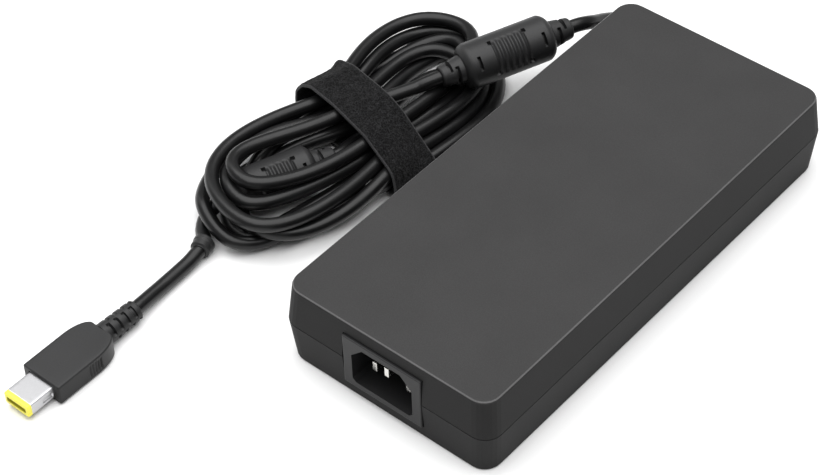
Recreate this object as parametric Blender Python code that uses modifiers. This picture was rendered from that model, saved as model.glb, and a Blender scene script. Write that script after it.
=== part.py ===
"""Laptop power adapter: mains brick, coiled DC lead with two ferrites, hook-and-loop strap and plug.

Frame: origin on the surface under the middle of the case, +Y from the mains inlet end to the DC end,
+X towards the long side away from the hank, +Z up. Metres.
"""
import math

import bmesh
import bpy
from mathutils import Vector

MM = 0.001
GAP = 0.3 * MM

# ---- case ----
CASE_L = 186.0 * MM
CASE_W = 86.4 * MM
CASE_H = 32.0 * MM
PARTING_Z = 16.6 * MM
CORNER_R = 6.5 * MM
TOP_DRAFT = 1.5 * MM
BOTTOM_DRAFT = 1.4 * MM
TOP_EDGE_R = 1.0 * MM
BOTTOM_EDGE_R = 0.8 * MM
WALL = 2.2 * MM
PARTING_GAP = 0.4 * MM
LIP_OUTSET = 1.2 * MM
LIP_T = 1.6 * MM
LIP_RISE = 1.4 * MM
LIP_SEAT = 1.5 * MM
INLET_FACE_Y = -CASE_L / 2
LABEL_LOW = (-32.0 * MM, -52.0 * MM)
LABEL_HIGH = (32.0 * MM, 20.0 * MM)
LABEL_RECESS = 0.5 * MM
LABEL_T = 0.2 * MM

# ---- mains inlet (IEC 60320 C14) ----
INLET_Z = 16.25 * MM
OPENING_W = 25.0 * MM
OPENING_H = 16.6 * MM
OPENING_CHAMFER = 4.6 * MM
RECESS_DEPTH = 17.0 * MM
BEZEL_W = 32.4 * MM
BEZEL_H = 21.4 * MM
BEZEL_T = 2.6 * MM
INLET_BACK = 3.5 * MM
PIN_W = 2.0 * MM
PIN_H = 4.0 * MM
PIN_SPREAD = 7.0 * MM
PIN_RISE = 2.0 * MM
LIVE_PIN_DEPTH = 4.6 * MM
EARTH_PIN_DEPTH = 2.4 * MM
PIN_TAIL = 3.5 * MM
PIN_CLEARANCE = 0.2 * MM

# ---- electronics ----
BOARD_Z = 6.6 * MM
BOARD_T = 1.6 * MM
BOARD_Y = 9.0 * MM
SEAT = BOARD_Z + BOARD_T / 2 + GAP
CHOKE_PLACE = (4.0 * MM, -52.0 * MM, SEAT + 7.2 * MM)
TRANSFORMER_PLACE = (-14.0 * MM, 40.0 * MM, SEAT + 9.0 * MM)
PACKAGE = (4.5, 10.0, 15.0)
CAN_RADIUS = 9.0 * MM
CAN_LENGTH = 36.0 * MM

# ---- DC lead ----
CORD_D = 5.2 * MM
EXIT_X = -32.0 * MM
EXIT_Z = 16.4 * MM
FERRITE_BORE = CORD_D + 2 * GAP
# ferrite housings: centres and lengths in millimetres, as the routes below
FERRITE_A = dict(centre=(-65.3, 50.7, 21.2), toward=(0.400, 0.916, 0.045), length=35.8, radius=8.5)
FERRITE_B = dict(centre=(-94.3, -39.2, 8.5), toward=(0.359, 0.933, 0.0), length=27.0, radius=8.0)
RELIEF_L = 8.4
FERRITE_WALL = 2.0 * MM
FERRITE_CORE_SHARE = 0.36
RELIEF_REACH = 24.0 * MM
RELIEF_HOLE_R = 4.6 * MM
RELIEF_ROOT_R = 4.3 * MM
RELIEF_TIP_R = 3.2 * MM
FLANGE_R = 6.4 * MM
FLANGE_T = 2.4 * MM
FLANGE_BACK = 2.4 * MM
COLLAR_R = 3.8 * MM
COLLAR_HALF_L = 2.6 * MM

# ---- hank ----
HANK_X = -88.3 * MM
HANK_HALF_W = 30.7 * MM
HANK_NEAR_Y = -71.8 * MM
HANK_FAR_Y = 66.5 * MM
HANK_BASE = 0.3 * MM
HANK_LOW_TOP = 11.4 * MM
HANK_HIGH_TOP = 18.4 * MM
HANK_STEP_Y = 17.5 * MM
WAIST_HALF_W = 24.5 * MM
WAIST_NEAR_Y = -27.0 * MM
WAIST_FAR_Y = 22.0 * MM
WAIST_BASE = 2.4 * MM

# ---- hook-and-loop strap ----
STRAP_W = 19.0 * MM
STRAP_T = 1.5 * MM
STRAP_Y = -1.0 * MM
STRAP_SKEW = math.radians(-13.0)
STRAP_HALF_INNER = 29.6 * MM
STRAP_BASE = 0.4 * MM
STRAP_CORNER = 2.5 * MM

# ---- plug ----
PLUG_X = -91.6 * MM
PLUG_Z = 4.4 * MM
PLUG_FRONT_Y = -155.2 * MM
PLUG_BACK_Y = -128.0 * MM
PLUG_W = 16.8 * MM
PLUG_H = 7.9 * MM
BARREL_W = 11.1 * MM
BARREL_H = 4.7 * MM
BARREL_OUT = 10.0 * MM
TIP_OUT = 1.3 * MM
BARREL_WALL = 0.5 * MM
BARREL_IN = 6.0 * MM
PLUG_FIT = 0.2 * MM
PLUG_RELIEF_L = 15.4 * MM
PLUG_RELIEF_RINGS = 4

COLLECTION = "laptop_power_adapter"


# ---------------------------------------------------------------- helpers
def clear_scene():
    for old in list(bpy.data.objects):
        bpy.data.objects.remove(old, do_unlink=True)


def collection(name):
    made = bpy.data.collections.new(name)
    bpy.context.scene.collection.children.link(made)
    return made


def material(name, rgb, roughness, metallic=0.0):
    made = bpy.data.materials.new(name)
    made.use_nodes = True
    shader = made.node_tree.nodes["Principled BSDF"]
    shader.inputs["Base Color"].default_value = (*rgb, 1.0)
    shader.inputs["Roughness"].default_value = roughness
    shader.inputs["Metallic"].default_value = metallic
    return made


def part(name, mesh, look):
    """A named sub-part from a finished mesh."""
    obj = bpy.data.objects.new(name, mesh)
    PARTS.objects.link(obj)
    mesh.materials.clear()
    mesh.materials.append(look)
    return obj


def mesh_from(bm, name):
    bmesh.ops.recalc_face_normals(bm, faces=bm.faces)
    mesh = bpy.data.meshes.new(name)
    bm.to_mesh(mesh)
    bm.free()
    return mesh


def cutter(name, mesh):
    obj = bpy.data.objects.new(name, mesh)
    CUTTERS.objects.link(obj)
    obj.hide_render = True
    obj.display_type = "WIRE"
    return obj


def boolean(obj, other, operation="DIFFERENCE"):
    mod = obj.modifiers.new("cut", "BOOLEAN")
    mod.object = other
    mod.operation = operation
    mod.solver = "EXACT"


def box_mesh(name, size, bevel=0.0, segments=2):
    bm = bmesh.new()
    bmesh.ops.create_cube(bm, size=1.0)
    bmesh.ops.scale(bm, vec=Vector(size), verts=bm.verts)
    if bevel:
        bmesh.ops.bevel(bm, geom=bm.edges[:], offset=bevel, segments=segments, profile=0.5, affect="EDGES")
    return mesh_from(bm, name)


def box(name, centre, size, look, bevel=0.0):
    obj = part(name, box_mesh(name, size, bevel), look)
    obj.location = centre
    return obj


def cut_box(obj, low, high):
    size = [b - a for a, b in zip(low, high)]
    centre = [(a + b) / 2 for a, b in zip(low, high)]
    other = cutter(obj.name + "_cut", box_mesh("cut", size))
    other.location = centre
    boolean(obj, other)


def cylinder_mesh(name, radius, height, sides=24):
    bm = bmesh.new()
    bmesh.ops.create_cone(bm, cap_ends=True, segments=sides, radius1=radius, radius2=radius, depth=height)
    return mesh_from(bm, name)


def cylinder(name, centre, radius, height, look, sides=24):
    obj = part(name, cylinder_mesh(name, radius, height, sides), look)
    obj.location = centre
    return obj


def flat_outline_mesh(name, loops, thickness):
    """A flat outline in X and Y, filled and given a thickness along Z, as a welded mesh."""
    curve = bpy.data.curves.new(name, "CURVE")
    curve.dimensions = "2D"
    curve.fill_mode = "BOTH"
    curve.extrude = thickness / 2
    for loop in loops:
        spline = curve.splines.new("POLY")
        spline.points.add(len(loop) - 1)
        for point, (x, y) in zip(spline.points, loop):
            point.co = (x, y, 0.0, 1.0)
        spline.use_cyclic_u = True
    return welded(curve, name)


def welded(curve, name):
    """The evaluated mesh of a curve, its caps welded on."""
    guide = bpy.data.objects.new(name + "_curve", curve)
    bpy.context.scene.collection.objects.link(guide)
    bpy.context.view_layer.update()
    ready = guide.evaluated_get(bpy.context.evaluated_depsgraph_get())
    mesh = bpy.data.meshes.new_from_object(ready)
    bpy.data.objects.remove(guide, do_unlink=True)
    bm = bmesh.new()
    bm.from_mesh(mesh)
    bmesh.ops.remove_doubles(bm, verts=bm.verts, dist=1e-6)
    bmesh.ops.recalc_face_normals(bm, faces=bm.faces)
    bm.to_mesh(mesh)
    bm.free()
    return mesh


def rounded_rectangle(width, height, radius, steps=4):
    points = []
    for sx, sy, start in ((1, 1, 0), (-1, 1, 90), (-1, -1, 180), (1, -1, 270)):
        for k in range(steps + 1):
            angle = math.radians(start + 90 * k / steps)
            points.append((sx * (width / 2 - radius) + radius * math.cos(angle),
                           sy * (height / 2 - radius) + radius * math.sin(angle)))
    return points


def superellipse(half_x, half_y, power, steps):
    points = []
    for k in range(steps):
        angle = 2 * math.pi * (k + 0.5) / steps
        c = math.cos(angle)
        s = math.sin(angle)
        points.append((math.copysign(abs(c) ** (2 / power), c) * half_x,
                       math.copysign(abs(s) ** (2 / power), s) * half_y))
    return points


def turned(name, profile, look, sides=24):
    """A closed ring turned about Z; the profile is (radius, height) pairs, down the outer side first."""
    mesh = bpy.data.meshes.new(name)
    verts = [(r, 0.0, z) for r, z in profile]
    edges = [(k, (k + 1) % len(verts)) for k in range(len(verts))]
    mesh.from_pydata(verts, edges, [])
    obj = part(name, mesh, look)
    screw = obj.modifiers.new("turn", "SCREW")
    screw.steps = sides
    screw.render_steps = sides
    screw.use_merge_vertices = True
    screw.merge_threshold = 0.00001
    return obj


def aim(obj, centre, toward):
    """Put the object's own Z along a direction."""
    obj.rotation_mode = "QUATERNION"
    obj.rotation_quaternion = Vector(toward).to_track_quat("Z", "Y")
    obj.location = centre


def smooth_route(points, spacing, start=0.0, end=None):
    """Evenly spaced points along a smooth curve through the given ones, from start to end along its length.

    A point close behind each end keeps the end faces square to the curve.
    """
    path = [Vector(p) * MM for p in points]
    ends = [2 * path[0] - path[1]] + path + [2 * path[-1] - path[-2]]
    fine = []
    for k in range(1, len(ends) - 2):
        p0, p1, p2, p3 = ends[k - 1:k + 3]
        for j in range(24):
            t = j / 24
            fine.append(0.5 * (2 * p1 + (p2 - p0) * t + (2 * p0 - 5 * p1 + 4 * p2 - p3) * t * t
                               + (3 * p1 - 3 * p2 + p3 - p0) * t ** 3))
    fine.append(path[-1])
    lengths = [0.0]
    for a, b in zip(fine, fine[1:]):
        lengths.append(lengths[-1] + (b - a).length)
    end = lengths[-1] if end is None else end

    def place(goal):
        index = 0
        while index < len(lengths) - 2 and lengths[index + 1] < goal:
            index += 1
        share = (goal - lengths[index]) / (lengths[index + 1] - lengths[index])
        return fine[index].lerp(fine[index + 1], share)

    count = max(2, round((end - start) / spacing))
    square = 0.4 * MM
    goals = [start, start + square]
    goals += [start + (end - start) * k / count for k in range(1, count)]
    goals += [end - square, end]
    return [place(goal) for goal in goals]


def tube(name, points, radii, look):
    """A round bar along a polyline; radii holds one radius, or one for each point."""
    curve = bpy.data.curves.new(name, "CURVE")
    curve.dimensions = "3D"
    curve.bevel_depth = 1.0 * MM
    curve.bevel_resolution = 2
    curve.use_fill_caps = True
    spline = curve.splines.new("POLY")
    spline.points.add(len(points) - 1)
    for k, (point, place) in enumerate(zip(spline.points, points)):
        point.co = (*place, 1.0)
        point.radius = (radii if isinstance(radii, float) else radii[k]) / MM
    return part(name, welded(curve, name), look)


# ---------------------------------------------------------------- case
def cover_mesh(name, up):
    """Half of the case: a drafted box with rounded corners, open at the parting plane."""
    height = (CASE_H - PARTING_Z if up else PARTING_Z) - PARTING_GAP / 2
    draft = TOP_DRAFT if up else BOTTOM_DRAFT
    rim_z = PARTING_Z + (PARTING_GAP / 2 if up else -PARTING_GAP / 2)
    bm = bmesh.new()
    bmesh.ops.create_cube(bm, size=1.0)
    bmesh.ops.scale(bm, vec=Vector((CASE_W, CASE_L, height)), verts=bm.verts)
    centre_z = rim_z + (height / 2 if up else -height / 2)
    bmesh.ops.translate(bm, vec=Vector((0.0, 0.0, centre_z)), verts=bm.verts)
    upright = [e for e in bm.edges if abs(e.verts[0].co.z - e.verts[1].co.z) > height / 2]
    bmesh.ops.bevel(bm, geom=upright, offset=CORNER_R, segments=6, profile=0.5, affect="EDGES")
    rim = [f for f in bm.faces if all(abs(v.co.z - rim_z) < 1e-6 for v in f.verts)]
    bmesh.ops.delete(bm, geom=rim, context="FACES_ONLY")
    far_z = CASE_H if up else 0.0
    for vert in bm.verts:
        if abs(vert.co.z - far_z) < 1e-6:
            vert.co.x *= 1 - draft / (CASE_W / 2)
            vert.co.y *= 1 - draft / (CASE_L / 2)
    bmesh.ops.recalc_face_normals(bm, faces=bm.faces)
    bmesh.ops.solidify(bm, geom=bm.faces[:], thickness=WALL)
    for vert in bm.verts:
        if abs(vert.co.z - rim_z) < 0.5 * MM:
            vert.co.z = rim_z
    edge = [e for e in bm.edges if all(abs(v.co.z - far_z) < 1e-6 for v in e.verts)]
    radius = TOP_EDGE_R if up else BOTTOM_EDGE_R
    bmesh.ops.bevel(bm, geom=edge, offset=radius, segments=3, profile=0.5, affect="EDGES")
    return mesh_from(bm, name)


def lip_ring(name, grow, low, high):
    """The band between the two halves that keeps them in line: a rounded rectangle inside the outer wall."""
    loops = []
    for inset in (LIP_OUTSET - grow, LIP_OUTSET + LIP_T + grow):
        loops.append(rounded_rectangle(CASE_W - 2 * inset, CASE_L - 2 * inset, CORNER_R - inset, 5))
    ring = cutter(name, flat_outline_mesh(name, loops, high - low))
    ring.location.z = (low + high) / 2
    return ring


def make_covers():
    hole = cutter("relief_hole", cylinder_mesh("relief_hole", RELIEF_HOLE_R, 14 * MM))
    aim(hole, (EXIT_X, CASE_L / 2, EXIT_Z), (0, 1, 0))
    lip = lip_ring("seam_lip", 0.0, PARTING_Z - LIP_SEAT, PARTING_Z + LIP_RISE)
    rebate = lip_ring("seam_rebate", GAP, PARTING_Z - LIP_SEAT, PARTING_Z + LIP_RISE + GAP)
    for name, up in (("top_cover", True), ("bottom_cover", False)):
        cover = part(name, cover_mesh(name, up), CASE_LOOK)
        if up:
            boolean(cover, rebate)
        else:
            boolean(cover, lip, "UNION")
        cut_box(cover,
                (-BEZEL_W / 2 - GAP, INLET_FACE_Y - 2 * MM, INLET_Z - BEZEL_H / 2 - GAP),
                (BEZEL_W / 2 + GAP, INLET_FACE_Y + 6 * MM, INLET_Z + BEZEL_H / 2 + GAP))
        boolean(cover, hole)
    cut_box(bpy.data.objects["bottom_cover"], (*LABEL_LOW, -2 * MM), (*LABEL_HIGH, LABEL_RECESS))
    size = [high - low - 2 * GAP for low, high in zip(LABEL_LOW, LABEL_HIGH)]
    middle = [(low + high) / 2 for low, high in zip(LABEL_LOW, LABEL_HIGH)]
    box("rating_label", (*middle, LABEL_T * 0.75), (*size, LABEL_T), LABEL_LOOK)


# ---------------------------------------------------------------- mains inlet
def inlet_outline(width, height, chamfer, corner=1.4 * MM):
    """The C14 opening seen from outside: two large chamfers at the earth side."""
    half_w = width / 2
    half_h = height / 2
    return [(-half_w + corner, -half_h), (half_w - corner, -half_h), (half_w, -half_h + corner),
            (half_w, half_h - chamfer), (half_w - chamfer, half_h), (-half_w + chamfer, half_h),
            (-half_w, half_h - chamfer), (-half_w, -half_h + corner)]


def stand_on_y(obj, centre):
    """Turn a flat outline so that its X stays, its Y points up and its thickness runs along Y."""
    obj.rotation_euler = (math.pi / 2, 0.0, 0.0)
    obj.location = centre


def make_inlet():
    bezel = box("inlet_housing", (0.0, INLET_FACE_Y + BEZEL_T / 2 + 0.02 * MM, INLET_Z),
                (BEZEL_W, BEZEL_T, BEZEL_H), INLET_LOOK, 0.4 * MM)
    depth = RECESS_DEPTH + INLET_BACK
    wall = 3 * MM
    body = cutter("inlet_body", flat_outline_mesh(
        "inlet_body", [inlet_outline(OPENING_W + wall, OPENING_H + wall, OPENING_CHAMFER)], depth - 1 * MM))
    stand_on_y(body, (0.0, INLET_FACE_Y + (depth + 1 * MM) / 2, INLET_Z))
    boolean(bezel, body, "UNION")
    recess = cutter("inlet_recess", flat_outline_mesh(
        "inlet_recess", [inlet_outline(OPENING_W, OPENING_H, OPENING_CHAMFER)], RECESS_DEPTH + 4 * MM))
    stand_on_y(recess, (0.0, INLET_FACE_Y + RECESS_DEPTH / 2 - 2 * MM, INLET_Z))
    boolean(bezel, recess)
    pins = (("inlet_pin_line", -PIN_SPREAD, -PIN_RISE, LIVE_PIN_DEPTH),
            ("inlet_pin_neutral", PIN_SPREAD, -PIN_RISE, LIVE_PIN_DEPTH),
            ("inlet_pin_earth", 0.0, PIN_RISE, EARTH_PIN_DEPTH))
    back_y = INLET_FACE_Y + depth + PIN_TAIL
    half_w = PIN_W / 2 + PIN_CLEARANCE
    half_h = PIN_H / 2 + PIN_CLEARANCE
    for name, x, rise, tip_depth in pins:
        tip_y = INLET_FACE_Y + tip_depth
        z = INLET_Z + rise
        box(name, (x, (tip_y + back_y) / 2, z), (PIN_W, back_y - tip_y, PIN_H), PIN_LOOK, 0.35 * MM)
        cut_box(bezel, (x - half_w, INLET_FACE_Y + RECESS_DEPTH - 3 * MM, z - half_h),
                (x + half_w, back_y, z + half_h))


# ---------------------------------------------------------------- electronics
def on_board(name, x, y, size, look, bevel=0.0):
    """A block standing on the main board, in millimetres."""
    sx, sy, sz = (v * MM for v in size)
    return box(name, (x * MM, y * MM, SEAT + sz / 2), (sx, sy, sz), look, bevel)


def make_board():
    outline = rounded_rectangle(76 * MM, 150 * MM, 3 * MM)
    board = part("main_board", flat_outline_mesh("main_board", [outline], BOARD_T), BOARD_LOOK)
    board.location = (0.0, BOARD_Y, BOARD_Z)
    box("insulating_sheet", (0.0, BOARD_Y, 4.2 * MM), (77 * MM, 152 * MM, 0.4 * MM), SHEET_LOOK)
    box("heat_spreader", (0.0, BOARD_Y, 28.4 * MM), (74 * MM, 148 * MM, 1.0 * MM), ALUMINIUM_LOOK)


def make_mains_side():
    fuse = cylinder("mains_fuse", (27 * MM, -56 * MM, SEAT + 3.2 * MM), 3.0 * MM, 12 * MM, CERAMIC_LOOK, 16)
    fuse.rotation_euler = (math.pi / 2, 0.0, 0.0)
    on_board("x_capacitor", -24, -54, (18, 9, 15), FILM_LOOK, 0.5 * MM)
    ring = turned("mains_choke_core", [(8.5 * MM, 4 * MM), (8.5 * MM, -4 * MM), (4.5 * MM, -4 * MM),
                                       (4.5 * MM, 4 * MM)], FERRITE_LOOK, 24)
    ring.location = CHOKE_PLACE
    outer = [(2.6 * MM, -5.6 * MM), (10.4 * MM, -5.6 * MM), (10.4 * MM, 5.6 * MM), (2.6 * MM, 5.6 * MM)]
    inner = [(3.9 * MM, -4.3 * MM), (9.1 * MM, -4.3 * MM), (9.1 * MM, 4.3 * MM), (3.9 * MM, 4.3 * MM)]
    for turn, name in ((math.pi, "mains_choke_winding_line"), (0.0, "mains_choke_winding_neutral")):
        wound = part(name, flat_outline_mesh(name, [outer, inner], 4 * MM), COPPER_LOOK)
        wound.rotation_euler = (math.pi / 2, 0.0, turn)
        wound.location = CHOKE_PLACE
    on_board("bridge_rectifier", 27, -41, (15, 4, 15), CHIP_LOOK, 0.4 * MM)
    on_board("pfc_choke", -22, -30, (23, 22, 17), COPPER_LOOK, 1.5 * MM)


def make_transformer():
    half = 17 * MM
    core_outer = [(-half, -14 * MM), (half, -14 * MM), (half, 14 * MM), (-half, 14 * MM)]
    windows = []
    for side in (-1, 1):
        near = side * 6 * MM
        far = side * 12.5 * MM
        windows.append([(near, -9 * MM), (far, -9 * MM), (far, 9 * MM), (near, 9 * MM)])
    core_mesh = flat_outline_mesh("transformer_core", [core_outer] + windows, 12 * MM)
    core = part("transformer_core", core_mesh, FERRITE_LOOK)
    core.location = TRANSFORMER_PLACE
    outer = rounded_rectangle(24.0 * MM, 17.6 * MM, 5 * MM)
    inner = rounded_rectangle(12.6 * MM, 12.8 * MM, 0.5 * MM)
    winding_mesh = flat_outline_mesh("transformer_winding", [outer, inner], 17.2 * MM)
    winding = part("transformer_winding", winding_mesh, TAPE_LOOK)
    winding.rotation_euler = (math.pi / 2, 0.0, 0.0)
    winding.location = TRANSFORMER_PLACE


def make_power_side():
    on_board("primary_heatsink", 35, -11, (2, 46, 18), ALUMINIUM_LOOK)
    on_board("primary_transistor", 31.2, -20, PACKAGE, CHIP_LOOK, 0.4 * MM)
    on_board("boost_diode", 31.2, -2, PACKAGE, CHIP_LOOK, 0.4 * MM)
    for k, x in enumerate((-20, 2)):
        place = (x * MM, 4 * MM, SEAT + CAN_RADIUS + 0.2 * MM)
        can = cylinder(f"bulk_capacitor_{k + 1}", place, CAN_RADIUS, CAN_LENGTH, CAPACITOR_LOOK)
        can.rotation_euler = (math.pi / 2, 0.0, 0.0)
    on_board("resonant_capacitor", 14, 32, (12, 6, 11), FILM_LOOK, 0.5 * MM)
    on_board("secondary_heatsink", 35, 48, (2, 44, 18), ALUMINIUM_LOOK)
    for k, y in enumerate((38, 56)):
        on_board(f"output_rectifier_{k + 1}", 31.2, y, PACKAGE, CHIP_LOOK, 0.4 * MM)
    tall = 17 * MM
    for k, (x, y) in enumerate(((12, 50), (22, 62), (12, 66))):
        place = (x * MM, y * MM, SEAT + tall / 2)
        cylinder(f"output_capacitor_{k + 1}", place, 4.6 * MM, tall, CAPACITOR_LOOK, 18)
    on_board("control_board", -2, 67, (1.4, 20, 16), BOARD_LOOK)
    on_board("optocoupler", -8, 68, (6.5, 4.6, 3.6), CHIP_LOOK, 0.3 * MM)
    on_board("output_terminal_block", -28, 74, (12, 5, 6), CHIP_LOOK, 0.3 * MM)


# ---------------------------------------------------------------- DC lead
def ferrite_points(spec):
    """End points of a ferrite housing's own reliefs, in millimetres."""
    centre = Vector(spec["centre"])
    toward = Vector(spec["toward"]).normalized()
    half = spec["length"] / 2 + RELIEF_L
    return centre - toward * half, centre + toward * half


A_TAIL, A_HEAD = ferrite_points(FERRITE_A)
LEAD_B_REACH = FERRITE_B["length"] / 2 + RELIEF_L + 1.5
START_ROUTE = [(-32.0, 84.0, 16.4), (-32.0, 92.2, 16.4), (-32.0, 96.0, 16.2), (-32.6, 100.2, 15.6),
               (-34.9, 104.4, 14.5), (-38.8, 107.2, 13.2), (-43.4, 107.8, 12.1), (-47.8, 106.2, 11.6),
               (-51.2, 102.6, 11.9), (-53.2, 97.6, 13.2), (-53.9, 92.0, 15.4), (-54.0, 86.0, 18.0),
               (-54.2, 81.0, 20.4), tuple(A_HEAD), FERRITE_A["centre"], tuple(A_TAIL), (-81.0, 19.3, 17.2)]
LEAD_ROUTE = [(-95.6, -73.0, 4.1), (-95.0, -75.6, 4.1), (-94.3, -79.0, 4.0), (-93.9, -86.0, 3.1),
              (-93.2, -98.0, 3.2), (-92.4, -106.0, 3.9), (-91.8, -111.7, 4.4)]


def ferrite_profile(radius, length):
    """Half outline of the moulded housing: reliefs with rings, chamfered ends and a grip of ribs."""
    bore = FERRITE_BORE / 2
    half = length / 2
    pocket_r = radius - FERRITE_WALL
    pocket_z = length * FERRITE_CORE_SHARE
    tip = half + RELIEF_L * MM
    neck = 4.2 * MM
    chamfer = 1.6 * MM
    end = [(neck - 0.5 * MM, tip), (neck, tip - 0.6 * MM), (neck, tip - 2.6 * MM),
           (neck - 0.9 * MM, tip - 2.6 * MM), (neck - 0.9 * MM, tip - 3.8 * MM),
           (neck + 0.2 * MM, tip - 3.8 * MM), (neck + 0.4 * MM, half),
           (radius - chamfer, half), (radius, half - chamfer)]
    grooves = 4
    pitch = 2.6 * MM
    floor = radius - 0.7 * MM
    grip = []
    for k in range(grooves):
        z = ((grooves - 1) / 2 - k) * pitch
        grip += [(radius, z + 0.8 * MM), (floor, z + 0.4 * MM), (floor, z - 0.4 * MM), (radius, z - 0.8 * MM)]
    other_end = [(r, -z) for r, z in reversed(end)]
    inner = [(bore, -tip), (bore, -pocket_z), (pocket_r, -pocket_z), (pocket_r, pocket_z), (bore, pocket_z),
             (bore, tip)]
    return end + grip + other_end + inner


def make_ferrite(letter, spec):
    radius = spec["radius"] * MM
    length = spec["length"] * MM
    centre = Vector(spec["centre"]) * MM
    housing = turned(f"ferrite_{letter}_housing", ferrite_profile(radius, length), RUBBER_LOOK, 24)
    aim(housing, centre, spec["toward"])
    outer = radius - FERRITE_WALL - GAP
    half = length * FERRITE_CORE_SHARE - GAP
    bore = FERRITE_BORE / 2
    core = turned(f"ferrite_{letter}_core", [(outer, half), (outer, -half), (bore, -half), (bore, half)],
                  FERRITE_LOOK, 20)
    aim(core, centre, spec["toward"])


def make_relief():
    """The lead's moulded strain relief, held in the case wall and bent with the lead."""
    route = smooth_route(START_ROUTE, 3.2 * MM, end=RELIEF_REACH)
    count = len(route) - 1
    radii = [RELIEF_ROOT_R + (RELIEF_TIP_R - RELIEF_ROOT_R) * k / count for k in range(count + 1)]
    relief = tube("dc_strain_relief", route, radii, RUBBER_LOOK)
    flange = cutter("relief_flange", cylinder_mesh("relief_flange", FLANGE_R, FLANGE_T))
    aim(flange, (EXIT_X, CASE_L / 2 - WALL - FLANGE_BACK, EXIT_Z), (0, 1, 0))
    boolean(relief, flange, "UNION")


def make_leads():
    tube("cord_to_hank", smooth_route(START_ROUTE, 6.0 * MM, start=RELIEF_REACH + GAP), CORD_D / 2, CORD_LOOK)
    tube("plug_lead", smooth_route(LEAD_ROUTE, 8.0 * MM), CORD_D / 2, CORD_LOOK)
    toward = Vector(FERRITE_B["toward"]).normalized()
    centre = Vector(FERRITE_B["centre"])
    inside = [(centre + toward * LEAD_B_REACH * share) * MM for share in (-1.0, -0.5, 0.0, 0.5, 1.0)]
    tube("ferrite_b_lead", inside, CORD_D / 2, CORD_LOOK)
    bore = FERRITE_BORE / 2
    edge = COLLAR_R - 0.4 * MM
    shoulder = COLLAR_HALF_L - 0.6 * MM
    ring = turned("lead_collar", [(edge, COLLAR_HALF_L), (COLLAR_R, shoulder), (COLLAR_R, -shoulder),
                                  (edge, -COLLAR_HALF_L), (bore, -COLLAR_HALF_L), (bore, COLLAR_HALF_L)],
                  RUBBER_LOOK, 20)
    a, b = (Vector(p) * MM for p in LEAD_ROUTE[1:3])
    aim(ring, a.lerp(b, 0.4), b - a)


# ---------------------------------------------------------------- hank and strap
def make_hank():
    half_y = (HANK_FAR_Y - HANK_NEAR_Y) / 2
    middle_y = (HANK_FAR_Y + HANK_NEAR_Y) / 2
    outline = superellipse(HANK_HALF_W, half_y, 3.4, 48)
    height = HANK_HIGH_TOP - HANK_BASE
    hank = part("cord_hank", flat_outline_mesh("cord_hank", [outline], height), CORD_LOOK)
    hank.location = (HANK_X, middle_y, HANK_BASE + height / 2)
    wide = 60 * MM
    cut_box(hank, (HANK_X - wide, HANK_STEP_Y, HANK_LOW_TOP), (HANK_X + wide, 0.09, 0.03))
    cut_box(hank, (HANK_X - wide, WAIST_NEAR_Y, -0.01), (HANK_X + wide, WAIST_FAR_Y, WAIST_BASE))
    for side in (-1, 1):
        edges = sorted((HANK_X + side * WAIST_HALF_W, HANK_X + side * wide))
        cut_box(hank, (edges[0], WAIST_NEAR_Y, -0.01), (edges[1], WAIST_FAR_Y, 0.03))
    slot_w = 2 * (FERRITE_B["radius"] + 0.6) * MM
    slot_outline = rounded_rectangle(slot_w, 2 * (LEAD_B_REACH * MM + GAP), 3 * MM)
    slot = cutter("ferrite_slot", flat_outline_mesh("ferrite_slot", [slot_outline], 60 * MM))
    slot.location = Vector(FERRITE_B["centre"]) * MM
    slot.rotation_euler = (0, 0, -math.atan2(FERRITE_B["toward"][0], FERRITE_B["toward"][1]))
    boolean(hank, slot)


def make_strap():
    low = STRAP_BASE + STRAP_T
    high = HANK_HIGH_TOP + GAP + 0.1 * MM
    height = high - low
    width = 2 * STRAP_HALF_INNER
    inner = rounded_rectangle(width, height, STRAP_CORNER, 5)
    outer = rounded_rectangle(width + 2 * STRAP_T, height + 2 * STRAP_T, STRAP_CORNER + STRAP_T, 5)
    mesh = flat_outline_mesh("hook_and_loop_strap", [outer, inner], STRAP_W)
    strap = part("hook_and_loop_strap", mesh, STRAP_LOOK)
    strap.rotation_euler = (math.pi / 2, 0.0, STRAP_SKEW)
    strap.location = (HANK_X, STRAP_Y, (low + high) / 2)


# ---------------------------------------------------------------- plug
def make_plug_housing():
    length = PLUG_BACK_Y - PLUG_FRONT_Y
    half_w = PLUG_W / 2
    back_half = 4.4 * MM
    shoulder = 17.5 * MM
    side = [(half_w, 0.0), (half_w, shoulder)]
    steps = 6
    for k in range(1, steps):
        angle = math.radians(90 * k / steps)
        side.append((back_half + (half_w - back_half) * math.cos(angle),
                     shoulder + (length - shoulder) * math.sin(angle)))
    side.append((back_half, length))
    outline = side + [(-x, y) for x, y in reversed(side)]
    body = part("plug_housing", flat_outline_mesh("plug_housing", [outline], PLUG_H), RUBBER_LOOK)
    body.location = (PLUG_X, PLUG_FRONT_Y, PLUG_Z)
    soft = body.modifiers.new("edges", "BEVEL")
    soft.width = 0.8 * MM
    soft.segments = 2
    soft.limit_method = "ANGLE"
    soft.angle_limit = math.radians(60)
    half_w = BARREL_W / 2 + PLUG_FIT
    half_h = BARREL_H / 2 + PLUG_FIT
    cut_box(body, (PLUG_X - half_w, PLUG_FRONT_Y - 5 * MM, PLUG_Z - half_h),
            (PLUG_X + half_w, PLUG_FRONT_Y + BARREL_IN + PLUG_FIT, PLUG_Z + half_h))


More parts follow.
